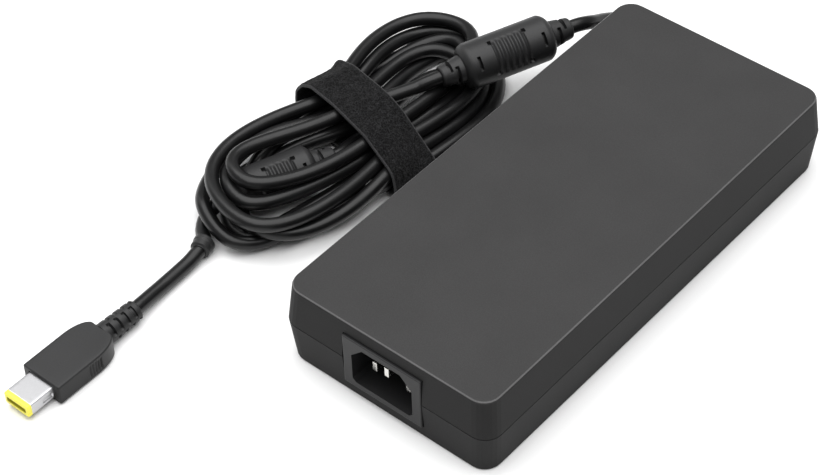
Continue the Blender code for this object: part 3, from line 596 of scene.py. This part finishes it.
def grid_tube(rings):
    """A bmesh skin over rings of points (count, around, 3), with its ends closed to their middles."""
    bm = bmesh.new()
    sides = rings.shape[1]
    verts = [[bm.verts.new(p) for p in ring] for ring in rings]
    for a, b in zip(verts, verts[1:]):
        for k in range(sides):
            m = (k + 1) % sides
            bm.faces.new((a[k], a[m], b[m], b[k]))
    for ring, points in ((verts[0], rings[0]), (verts[-1], rings[-1])):
        middle = bm.verts.new(points.mean(axis=0))
        for k in range(sides):
            bm.faces.new((ring[k], ring[(k + 1) % sides], middle))
    return bm


def radial_rings(stations, radius_at, sides):
    """Rings about Z whose radius is radius_at(z, angle in degrees from +Y towards +X)."""
    angle = np.arange(sides) / sides * 360.0
    z, phi = np.meshgrid(stations, angle, indexing="ij")
    radius = radius_at(z, phi)
    turn = np.radians(phi)
    return np.stack([radius * np.sin(turn), radius * np.cos(turn), z], axis=2)


def placed(rings, matrix):
    """Rings moved as a whole by a matrix."""
    turn = np.array(matrix.to_3x3())
    return rings @ turn.T + np.array(matrix.translation)


def along_path(rings, path):
    """Bends rings about Z so that their Z runs along a polyline."""
    lengths = run_length(path)
    bent = np.empty_like(rings)
    for k, ring in enumerate(rings):
        s = ring[:, 2]
        centre = np.stack([np.interp(s, lengths, path[:, i]) for i in range(3)], axis=1)
        ahead = np.stack([np.interp(s + 0.8, lengths, path[:, i]) for i in range(3)], axis=1)
        behind = np.stack([np.interp(s - 0.8, lengths, path[:, i]) for i in range(3)], axis=1)
        along = ahead - behind
        along /= np.linalg.norm(along, axis=1)[:, None]
        side = np.cross(along, (0.0, 0.0, 1.0))
        side /= np.linalg.norm(side, axis=1)[:, None]
        lift = np.cross(side, along)
        bent[k] = centre + side * ring[:, :1] + lift * ring[:, 1:2]
    return bent


def finish_cord_piece(name, bm, looks, node, look="moulded_rubber", smooth_angle=50):
    """A piece on the lead, which rides with the adapter and stands for one CAD node."""
    piece = mesh_object(name, bm, looks[look], smooth_angle)
    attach(piece, ADAPTER)
    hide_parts(node)
    return piece


# ---------------------------------------------------------------- ferrites
CHAMFER = 2.9
GRIP_PITCH = 2.45
SLOT_DEPTH = 1.5
SEAM_HEIGHT = 0.12


def relief_radius(from_body, angle, phase):
    """The slotted sleeve at each end of a ferrite: two rings with staggered slots."""
    radius = 5.25 - 0.17 * from_body
    for place, turn in ((2.6, 0.0), (5.0, 90.0)):
        slot = band(from_body, place - 0.55, place + 0.55, 0.22)
        cut = np.maximum(around(angle, phase + turn, 52.0), around(angle, phase + turn + 180.0, 52.0))
        radius = radius - SLOT_DEPTH * slot * cut
    tip = RELIEF_L - from_body
    return np.where(tip < 0.9, radius - (0.9 - np.sqrt(np.clip(0.81 - (0.9 - tip) ** 2, 0, 1))) * 0.8, radius)


def ferrite_radius(radius, half, grooves, turned):
    """A ferrite's body: chamfered ends, a grooved grip, slits and small holes beyond it, and a mould seam."""
    def at(z, angle):
        inside = np.abs(z)
        to_end = np.clip(half - inside, 0.0, None)
        slope = np.clip((CHAMFER - to_end) / CHAMFER, 0.0, 1.0)
        body = radius - 0.34 * CHAMFER * slope - (0.62 * CHAMFER) * slope ** 3
        grip = np.maximum(around(angle, turned, 44.0, 10.0), around(angle, turned + 180.0, 44.0, 10.0))
        reach = grooves * GRIP_PITCH / 2
        wave = 0.5 - 0.5 * np.cos((z + reach) / GRIP_PITCH * 2 * math.pi)
        body = body - (0.85 * (1 - wave) - 0.12) * grip * band(z, -reach - 0.3, reach + 0.3, 0.6)
        for side in (-1, 1):
            slit = band(z, side * (half - 5.0) - 0.55, side * (half - 5.0) + 0.55, 0.16)
            for turn in (0.0, 180.0):
                body = body - 1.7 * slit * around(angle, turned + turn, 17.0, 3.0)
                for edge in (-1, 1):
                    hole = band(z, side * (reach + 0.7) - 0.65, side * (reach + 0.7) + 0.65, 0.3)
                    body = body - 1.3 * hole * around(angle, turned + turn + edge * 43.0, 4.2, 2.5)
        for turn in (90.0, 270.0):
            body = body + SEAM_HEIGHT * around(angle, turned + turn, 1.6, 2.2)
        sleeve = relief_radius(inside - half, angle, turned - 32.0)
        return np.where(inside <= half, body, sleeve)
    return at


def ferrite_stations(half):
    """Where the rings lie along a ferrite, with a pair at each end of its body."""
    tip = half + RELIEF_L
    fine = np.arange(-tip, tip + 0.01, 0.22)
    return np.unique(np.round(np.r_[fine, -half - 0.001, -half + 0.001, half - 0.001, half + 0.001], 4))


def axis_through(path, spec):
    """The line through a ferrite, straight in the body and along the lead in the sleeves, and its middle."""
    tail, head = ferrite_ends(spec)
    near_tail = np.argmin(np.linalg.norm(path - tail, axis=1))
    near_head = np.argmin(np.linalg.norm(path - head, axis=1))
    step = 1 if near_head > near_tail else -1
    lead = path[near_tail - 3 * step:near_head + 4 * step:step]
    toward = (head - tail) / np.linalg.norm(head - tail)
    straight = np.array(spec["centre"]) + np.outer((lead - spec["centre"]) @ toward, toward)
    off = np.abs((lead - spec["centre"]) @ toward) - spec["length"] / 2
    blend = np.clip(off / 3.0 + 0.5, 0.0, 1.0)[:, None]
    line = even(straight * (1 - blend) + lead * blend, 0.5)
    return line, run_length(line)[np.argmin(np.linalg.norm(line - spec["centre"], axis=1))]


def make_ferrite(letter, spec, looks, grooves, path=None):
    """A ferrite's moulding, straight, or with its sleeves bent along the lead where a path is given."""
    half = spec["length"] / 2
    radius_at = ferrite_radius(spec["radius"], half, grooves, spec["grip"])
    rings = radial_rings(ferrite_stations(half), radius_at, 144)
    if path is None:
        rings = placed(rings, frame_at(spec["centre"], spec["toward"]))
    else:
        line, middle = axis_through(path, spec)
        rings[:, :, 2] += middle
        rings = along_path(rings, line)
    name = f"ferrite_{letter}"
    return finish_cord_piece(name + "_moulding", grid_tube(rings), looks, name + "_housing")


# ---------------------------------------------------------------- reliefs, collar and plug
def sleeve_radius(length, wide, narrow, pitch, first, facing=0.0):
    """A bend relief with staggered slots: two rows facing one way, and two half a pitch on across them."""
    def at(z, angle):
        radius = wide + (narrow - wide) * np.clip(z / length, 0.0, 1.0)
        for k in range(int((length - first) / pitch + 0.4)):
            for shift, turn in ((0.0, facing), (pitch / 2, facing + 90.0)):
                middle = first + (k * pitch) + shift
                if middle > length - 0.9:
                    continue
                slot = band(z, middle - 0.62, middle + 0.62, 0.22)
                cut = np.maximum(around(angle, turn, 36.0, 5.0), around(angle, turn + 180.0, 36.0, 5.0))
                radius = radius - (radius - CORD_R - 0.15) * 0.82 * slot * cut
        tip = np.clip(1.0 - (length - z) / 0.8, 0.0, 1.0)
        return radius - 0.55 * tip ** 3
    return at


def make_dc_relief(path, looks):
    """The relief at the case wall, along the first 26 mm of the lead outside it."""
    start, length = 7.8, 26.0
    stations = np.arange(start, start + length, 0.24)
    shape = sleeve_radius(length - 1.2, 4.5, 3.3, 4.0, 3.6)
    rings = radial_rings(stations, lambda z, angle: shape(z - start - 1.2, angle), 96)
    rings = along_path(rings, path[:40])
    return finish_cord_piece("dc_bend_relief", grid_tube(rings), looks, "dc_strain_relief")


def make_plug_relief(looks):
    """The ringed relief behind the plug's housing."""
    stations = np.arange(0.0, 15.61, 0.2)
    rings = radial_rings(stations, sleeve_radius(15.6, 4.25, 3.75, 3.35, 2.6, -42.0), 96)
    rings = placed(rings, frame_at((PLUG_X, PLUG_BACK_Y - 0.1, PLUG_Z), (0, 1, 0)))
    return finish_cord_piece("plug_bend_relief", grid_tube(rings), looks, "plug_strain_relief")


def make_collar(looks):
    """The small two-step collar on the lead where it leaves the hank."""
    def radius_at(z, angle):
        radius = 2.75 + 0.85 * band(z, -2.35, 2.35, 0.7) + 0.25 * band(z, -2.1, -0.2, 0.5)
        return radius + 0.05 * np.cos(np.radians(angle) * 2)

    rings = radial_rings(np.arange(-2.8, 2.81, 0.1), radius_at, 72)
    rings = placed(rings, frame_at((-95.25, -76.9, 4.02), (1.0, -2.9, 0.0)))
    return finish_cord_piece("cord_collar", grid_tube(rings), looks, "lead_collar")


def rounded_section(half_w, half_h, corner):
    """Points round a rounded rectangle (x, z), always as many of them and in the same order."""
    angle = np.linspace(0.0, math.pi / 2, 7)
    centre = np.array([half_w - corner, half_h - corner])
    arcs = []
    for k, (sx, sz) in enumerate(((1, 1), (-1, 1), (-1, -1), (1, -1))):
        turn = angle + k * math.pi / 2
        arcs.append(centre * (sx, sz) + corner * np.stack([np.cos(turn), np.sin(turn)], axis=1))
    out = []
    for arc, following in zip(arcs, arcs[1:] + arcs[:1]):
        out.append(arc)
        out.append(arc[-1] + np.outer(np.linspace(0, 1, 14)[1:-1], following[0] - arc[-1]))
    return np.vstack(out)


def sections_along_y(rows):
    """Rings from rows of (y, half width, half height, corner), about the plug's axis."""
    rings = []
    for y, half_w, half_h, corner in rows:
        flat = rounded_section(half_w, half_h, corner)
        rings.append(np.stack([PLUG_X + flat[:, 0], np.full(len(flat), y), PLUG_Z + flat[:, 1]], axis=1))
    return np.array(rings)


def housing_half_width(from_front):
    """Straight sides, then an oval shoulder down to the neck at the back."""
    length = PLUG_BACK_Y - PLUG_FRONT_Y
    t = np.clip((from_front - SHOULDER_FROM) / (length - SHOULDER_FROM + 0.15), 0.0, 1.0)
    return NECK_HALF_W + (HOUSING_HALF_W - NECK_HALF_W) * np.sqrt(1 - t ** 2)


def make_plug_housing(looks):
    """The plug's grip: a rounded front edge, five grooves in each side, and the shoulder."""
    length = PLUG_BACK_Y - PLUG_FRONT_Y
    rows = [(PLUG_FRONT_Y + 1.3, 5.9, 2.7, 0.7), (PLUG_FRONT_Y, 5.95, 2.75, 0.7)]
    for turn in np.linspace(0.0, math.pi / 2, 6):
        inset = 0.55 * (1 - math.sin(turn))
        y = PLUG_FRONT_Y + 0.55 * (1 - math.cos(turn))
        rows.append((y, HOUSING_HALF_W - inset, HOUSING_HALF_H - inset, 0.75))
    shoulder = SHOULDER_FROM + (length - SHOULDER_FROM) * np.sin(np.linspace(0.01, 1.54, 46))
    for along in np.r_[np.arange(0.8, SHOULDER_FROM, 0.2), shoulder]:
        rows.append((PLUG_FRONT_Y + along, housing_half_width(along), HOUSING_HALF_H, 0.75))
    rows.append((PLUG_BACK_Y + 0.05, 3.6, 3.5, 0.75))
    rings = sections_along_y(rows)
    from_front = rings[:, :, 1] - PLUG_FRONT_Y
    height = rings[:, :, 2] - PLUG_Z
    side = np.sign(rings[:, :, 0] - PLUG_X)
    off_axis = np.abs(rings[:, :, 0] - PLUG_X)
    at_side = (off_axis > housing_half_width(from_front) - 0.3) & (from_front > 1.0)
    for k in range(5):
        place = 13.8 + 1.25 * k
        groove = band(from_front, place - 0.28, place + 0.28, 0.4) * band(height, -2.4, 2.5, 0.9)
        rings[:, :, 0] -= side * at_side * groove * 0.42
    return finish_cord_piece("plug_body", grid_tube(rings), looks, "plug_housing")


def make_plug_barrel(looks):
    """A seamed metal shell: rounded corners, a spring slot near its root on each side, an open mouth."""
    rows = [(y, 5.55, 2.35, 0.55) for y in np.arange(PLUG_FRONT_Y + 1.2, PLUG_FRONT_Y - 9.6, -0.2)]
    rows += [(PLUG_FRONT_Y - 9.85, 5.50, 2.30, 0.5), (PLUG_FRONT_Y - 9.95, 5.35, 2.15, 0.4)]
    rows += [(PLUG_FRONT_Y - 9.9, 5.1, 1.9, 0.35), (PLUG_FRONT_Y - 8.5, 5.05, 1.85, 0.35)]
    rings = sections_along_y(rows)
    out = PLUG_FRONT_Y - rings[:, :, 1]
    height = rings[:, :, 2] - PLUG_Z
    side = np.sign(rings[:, :, 0] - PLUG_X)
    outer = np.abs(rings[:, :, 0] - PLUG_X) > 5.3
    slot = band(out, 0.6, 4.6, 0.3) * band(height, -1.1, 0.3, 0.35)
    rings[:, :, 0] -= side * outer * slot * 0.38
    return finish_cord_piece("plug_shell", grid_tube(rings), looks, "plug_barrel", "plug_steel")


def make_plug_tip(looks):
    """The coloured insulating mouthpiece, with a long slot in its face."""
    face = PLUG_FRONT_Y - 11.3
    rows = [(face + 2.9, 5.0, 1.8, 0.35), (face + 1.75, 5.0, 1.8, 0.35), (face + 1.7, 5.55, 2.38, 0.6),
            (face + 0.5, 5.55, 2.38, 0.6), (face + 0.15, 5.46, 2.29, 0.6), (face, 5.2, 2.03, 0.6)]
    rows += [(face, 4.45, 1.05, 0.5), (face + 0.12, 4.3, 0.9, 0.45), (face + 1.3, 4.25, 0.85, 0.42)]
    bm = grid_tube(sections_along_y(rows))
    for part in bm.faces:
        centre = part.calc_center_median()
        inside = abs(centre.z - PLUG_Z) < 1.0 and abs(centre.x - PLUG_X) < 4.4
        part.material_index = 1 if inside and face + 0.03 < centre.y < face + 1.5 else 0
    piece = finish_cord_piece("plug_mouthpiece", bm, looks, "plug_tip", "tip_plastic", 30)
    piece.data.materials.append(looks["tip_slot"])
    return piece


# ---------------------------------------------------------------- lead
def make_lead(path, looks):
    curve = bpy.data.curves.new("dc_lead", "CURVE")
    curve.dimensions = "3D"
    curve.bevel_depth = CORD_R * MM
    curve.bevel_resolution = 6
    curve.use_fill_caps = True
    spline = curve.splines.new("POLY")
    spline.points.add(len(path) - 1)
    spline.points.foreach_set("co", np.c_[path * MM, np.ones(len(path))].ravel())
    spline.use_smooth = True
    curve.materials.append(looks["cord_sheath"])
    lead = link(bpy.data.objects.new("dc_lead", curve))
    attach(lead, ADAPTER)
    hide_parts("cord_to_hank", "plug_lead", "ferrite_b_lead", "cord_hank")
    return lead


# ---------------------------------------------------------------- strap
def hull(points):
    """The convex outline of flat points, anticlockwise."""
    rows = sorted(map(tuple, points))
    out = []
    for sweep in (rows, rows[::-1]):
        part = []
        for p in sweep:
            while len(part) > 1 and ((part[-1][0] - part[-2][0]) * (p[1] - part[-2][1])
                                     - (part[-1][1] - part[-2][1]) * (p[0] - part[-2][0])) <= 0:
                part.pop()
            part.append(p)
        out += part[:-1]
    return np.array(out)


def strands_at(path, v):
    """Where the lead crosses the plane across the strap at v, as (along the strap, height)."""
    flat = path - STRAP_CENTRE
    across = flat @ STRAP_WIDTH_AXIS
    k = np.nonzero((across[:-1] - v) * (across[1:] - v) < 0)[0]
    share = ((v - across[k]) / (across[k + 1] - across[k]))[:, None]
    cut = flat[k] * (1 - share) + flat[k + 1] * share
    return np.c_[cut @ STRAP_LENGTH_AXIS, path[k, 2] * (1 - share[:, 0]) + path[k + 1, 2] * share[:, 0]]


def slid_strands(path, v, slide):
    """The same once the strap has slid along Y by some millimetres."""
    cut = strands_at(path, v + slide * STRAP_WIDTH_AXIS[1])
    return cut - np.array([slide * STRAP_LENGTH_AXIS[1], 0.0])


def strap_sections(path, width_stations):
    """Outlines round the strands, one for each width station, that clear them all along the strap's slide."""
    circle = np.linspace(0, 2 * math.pi, 32, endpoint=False)
    sections = []
    cuts = []
    reach = CORD_R + STRAP_FIT
    ring = np.stack([np.cos(circle), np.sin(circle)], axis=1) * reach
    for v in width_stations:
        slides = np.linspace(-STRAP_SLIDE, STRAP_SLIDE, 9)
        centres = np.vstack([slid_strands(path, v, slide) for slide in slides])
        cuts.append(centres[np.abs(centres[:, 0]) < STRAP_REACH])
    every = np.vstack(cuts)
    left, right = every[np.argmin(every[:, 0])], every[np.argmax(every[:, 0])]
    # the band is too stiff to dip between strands at its left end, so it stands off them in a round bend
    bend = [left, right, (left[0] + 0.6, 10.2), (left[0] + 3.6, 13.9), (left[0] + 8.0, 16.4)]
    for centres in cuts:
        centres = np.vstack([centres, bend])
        outline = hull((centres[:, None, :] + ring[None]).reshape(-1, 2))
        closed = np.vstack([outline, outline[:1]])
        k = np.nonzero((closed[:-1, 0] < STRAP_START_U) & (closed[1:, 0] >= STRAP_START_U))[0][0]
        share = (STRAP_START_U - closed[k, 0]) / (closed[k + 1, 0] - closed[k, 0])
        start = closed[k] * (1 - share) + closed[k + 1] * share
        closed = np.vstack([start, outline[k + 1:], outline[:k + 1], start])
        lengths = run_length(closed)
        goals = np.linspace(0, lengths[-1], STRAP_SIDES, endpoint=False)
        sections.append(np.stack([np.interp(goals, lengths, closed[:, i]) for i in (0, 1)], axis=1))
    sections = np.array(sections)
    for _ in range(3):
        padded = np.concatenate([sections[:1], sections, sections[-1:]], axis=0)
        sections = (padded[:-2] + 2 * padded[1:-1] + padded[2:]) / 4
        sections = (np.roll(sections, 1, 1) + 2 * sections + np.roll(sections, -1, 1)) / 4
    return sections


def make_strap(path, looks):
    """The band: two skins of a grid along and across it, joined at its edges and ends, with a rough pile."""
    rng = np.random.default_rng(11)
    width_stations = np.linspace(-STRAP_W / 2, STRAP_W / 2, round(STRAP_W / STRAP_GRID) + 1)
    sections = strap_sections(path, width_stations)
    closed = np.concatenate([sections, sections[:, :1]], axis=1)
    loop = np.linalg.norm(np.diff(closed, axis=1), axis=2).sum(axis=1).mean()
    steps = round((loop + STRAP_OVERLAP) / STRAP_GRID)
    place = np.linspace(0, 1 + STRAP_OVERLAP / loop, steps + 1)  # in turns round the hank
    index = place * STRAP_SIDES
    low = np.floor(index).astype(int)
    share = (index - low)[None, :, None]
    middle = sections[:, low % STRAP_SIDES] * (1 - share) + sections[:, (low + 1) % STRAP_SIDES] * share
    tangent = sections[:, (low + 2) % STRAP_SIDES] - sections[:, (low - 2) % STRAP_SIDES]
    tangent /= np.linalg.norm(tangent, axis=2)[:, :, None]
    outward = np.stack([tangent[:, :, 1], -tangent[:, :, 0]], axis=2)
    climb = (STRAP_T + 0.12) * np.clip((place - 1.0 + 0.02) / 0.05, 0, 1) ** 1.2
    inner = middle + outward * (0.02 + climb)[None, :, None]
    outer = inner + outward * STRAP_T
    pile = rng.normal(0, 1, (len(width_stations), steps + 1))
    pile = (pile + np.roll(pile, 1, 0) + np.roll(pile, 1, 1) + np.roll(np.roll(pile, 1, 0), 1, 1)) / 4
    from_edge = STRAP_W / 2 - np.abs(width_stations)
    soft = np.clip((from_edge - 0.7) / 0.8, 0, 1)[:, None]
    outer = outer + outward * (pile * PILE_HEIGHT * soft)[:, :, None]
    edge_drop = EDGE_DROP * (1 - np.clip(from_edge / 0.9, 0, 1))[:, None, None]
    outer = outer - outward * edge_drop
    outer[:, :, 1] = np.maximum(outer[:, :, 1], 0.02)  # no lower than the surface

    def world(flat):
        v = width_stations[:, None, None] * STRAP_WIDTH_AXIS[None, None, :]
        return STRAP_CENTRE + flat[:, :, :1] * STRAP_LENGTH_AXIS + v + flat[:, :, 1:] * np.array([0, 0, 1.0])

    bm = bmesh.new()
    skins = [[[bm.verts.new(p) for p in row] for row in world(flat)] for flat in (inner, outer)]
    rows = len(width_stations)
    for skin, flip in zip(skins, (True, False)):
        for i in range(rows - 1):
            edge = i < 1 or i > rows - 3
            for j in range(steps):
                corners = [skin[i][j], skin[i][j + 1], skin[i + 1][j + 1], skin[i + 1][j]]
                face = bm.faces.new(corners[::-1] if flip else corners)
                face.material_index = 1 if edge else 0
    for i in (0, rows - 1):
        for j in range(steps):
            face = bm.faces.new((skins[0][i][j], skins[0][i][j + 1], skins[1][i][j + 1], skins[1][i][j]))
            face.material_index = 1
    for j in (0, steps):
        for i in range(rows - 1):
            face = bm.faces.new((skins[0][i][j], skins[1][i][j], skins[1][i + 1][j], skins[0][i + 1][j]))
            face.material_index = 1
    piece = mesh_object("hook_and_loop_band", bm, looks["strap_fabric"], 80)
    piece.data.materials.append(looks["strap_edge"])
    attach(piece, STRAP)
    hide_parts("hook_and_loop_strap")
    return piece


# ---------------------------------------------------------------- light and floor
def make_floor():
    bm = bmesh.new()
    bmesh.ops.create_grid(bm, x_segments=4, y_segments=4, size=3000.0)
    look = Look("pale_floor", (0.86, 0.86, 0.86), 0.6)
    look.shade(look.noise(60.0, 2.0), 0.99, 1.01)
    floor = mesh_object("floor", bm, look.material)
    floor.location.z = -0.02 * MM


def area_light(name, place, aim, size, power):
    data = bpy.data.lights.new(name, "AREA")
    data.shape = "RECTANGLE"
    data.size, data.size_y = size
    data.energy = power
    light = link(bpy.data.objects.new(name, data))
    light.location = place
    light.rotation_mode = "QUATERNION"
    light.rotation_quaternion = (Vector(aim) - Vector(place)).to_track_quat("-Z", "Y")


def make_light():
    """A bright even studio: a large soft light overhead, a weak strip on the plug's side, a pale world."""
    world = bpy.data.worlds.new("studio")
    world.use_nodes = True
    background = world.node_tree.nodes["Background"]
    background.inputs["Color"].default_value = (1.0, 1.0, 1.0, 1.0)
    background.inputs["Strength"].default_value = 0.34
    bpy.context.scene.world = world
    area_light("overhead", (-0.02, -0.02, 1.6), (-0.05, 0.0, 0.0), (2.4, 2.4), 60.0)
    area_light("left_strip", (-1.1, -0.1, 0.75), (-0.09, -0.02, 0.0), (0.5, 1.2), 2.0)


def main():
    make_camera()
    looks = make_looks()
    path = lead_path()
    lead = make_lead(path, looks)
    with_lead = [make_ferrite("a", FERRITE_A, looks, 5), make_ferrite("b", FERRITE_B, looks, 4, path)]
    with_lead += [make_dc_relief(path, looks), make_collar(looks), make_plug_relief(looks),
                  make_plug_housing(looks), make_plug_barrel(looks), make_plug_tip(looks)]
    with_lead += [frame["nodes"][name] for name in ("ferrite_a_core", "ferrite_b_core", "plug_contact")]
    make_strap(path, looks)
    dress_nodes(looks)
    make_floor()
    make_light()
    bpy.context.scene.view_settings.view_transform = "Standard"


main()
